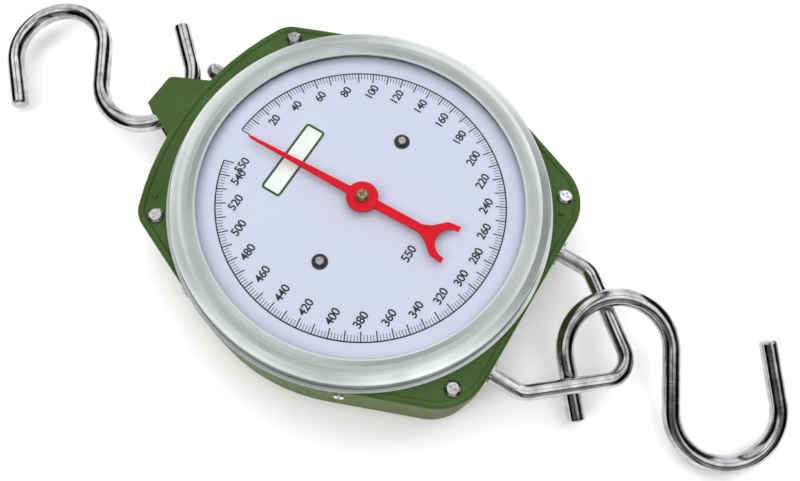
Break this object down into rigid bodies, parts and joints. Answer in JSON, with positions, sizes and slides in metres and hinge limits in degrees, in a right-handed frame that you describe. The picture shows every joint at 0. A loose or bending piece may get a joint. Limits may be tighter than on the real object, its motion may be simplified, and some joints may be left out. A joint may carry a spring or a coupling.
{
  "type": "hanging scale",
  "caption": "Hanging dial scale for game: round window on a green steel case, S-hook above, S-hook on a V-shaped bail below, springs with rack and pinion inside.",
  "frame": {"origin": "the case's back face, under the pointer's axis", "axes": "+Z out of the dial, +Y from the bottom hook towards the top hook, +X to the right of a reader"},
  "size_m": [0.1912, 0.463, 0.055],
  "materials": {
    "moss_paint": "semi-gloss moss green paint on pressed steel",
    "chrome": "bright plating on steel rod, slightly marked",
    "bright_ring": "spun and polished ring",
    "clear_lens": "clear domed plastic",
    "dial_white": "satin white enamel",
    "pointer_red": "gloss red paint",
    "brass": "turned brass",
    "nylon": "natural nylon",
    "zinc_steel": "zinc plated steel",
    "spring_steel": "oiled spring steel"
  },
  "bodies": {
    "case": {"rear_shell": "moss_paint", "front_cover": "moss_paint", "bezel": "bright_ring", "lens": "clear_lens", "dial_plate": "dial_white", "dial_screws": "zinc_steel", "dial_posts": "zinc_steel", "movement_plate": "zinc_steel", "movement_bridge": "zinc_steel", "movement_pillars": "zinc_steel", "plate_pillars": "zinc_steel", "front_bush": "brass", "rear_bush": "brass", "rack_guide": "nylon", "hanger_bracket": "moss_paint", "anchor_bar": "zinc_steel", "hanger_rivets": "zinc_steel", "bracket_spacers": "zinc_steel", "left_eyebolt": "zinc_steel", "left_nut": "zinc_steel", "zero_sleeve": "zinc_steel", "spring_left": "spring_steel", "spring_right": "spring_steel", "corner_posts": "zinc_steel", "cover_screws": "chrome", "side_screws": "chrome", "side_nuts": "zinc_steel", "bail_bushes": "chrome"},
    "load": {"bail": "chrome", "load_bar": "zinc_steel", "bail_pins": "zinc_steel", "rack": "brass", "rack_screws": "zinc_steel"},
    "pointer": {"pointer": "pointer_red", "pointer_screw": "brass", "arbor": "zinc_steel", "pinion": "brass"},
    "zero_knob": {"zero_knob": "chrome"},
    "zero_eyebolt": {"zero_eyebolt": "zinc_steel"},
    "top_hook": {"top_hook": "chrome"},
    "bottom_hook": {"bottom_hook": "chrome"}
  },
  "joints": [
    {"name": "load_slide", "type": "slide", "parent": "case", "child": "load", "axis": [0, -1, 0], "range_m": [0, 0.0301], "stiffness_N_per_m": 80900, "deforming": ["spring_left", "spring_right"]},
    {"name": "pointer_spin", "type": "hinge", "parent": "case", "child": "pointer", "pos_m": [0, 0, 0.048], "axis": [0, 0, 1], "range_deg": [-345, 0]},
    {"name": "zero_turn", "type": "hinge", "parent": "case", "child": "zero_knob", "pos_m": [0.029, 0.11, 0.024], "axis": [0, 1, 0], "range_deg": [-360, 360]},
    {"name": "zero_lift", "type": "slide", "parent": "case", "child": "zero_eyebolt", "axis": [0, 1, 0], "range_m": [-0.0008, 0.0008], "deforming": ["spring_right"]},
    {"name": "top_hook_swing", "type": "hinge", "parent": "case", "child": "top_hook", "pos_m": [0.0051, 0.1414, 0.0224], "axis": [-0.1476, 0.0985, 0.9841], "range_deg": [-22, 80]},
    {"name": "bottom_hook_swing", "type": "hinge", "parent": "load", "child": "bottom_hook", "pos_m": [0.0075, -0.14577, 0.02375], "axis": [-0.3691, -0.1108, 0.9228], "range_deg": [-95, 95]}
  ],
  "couplings": [
    {"joint": "pointer_spin", "follows": "load_slide", "rad_per_m": -200},
    {"joint": "zero_turn", "follows": "zero_lift", "rad_per_m": 7853.9}
  ]
}
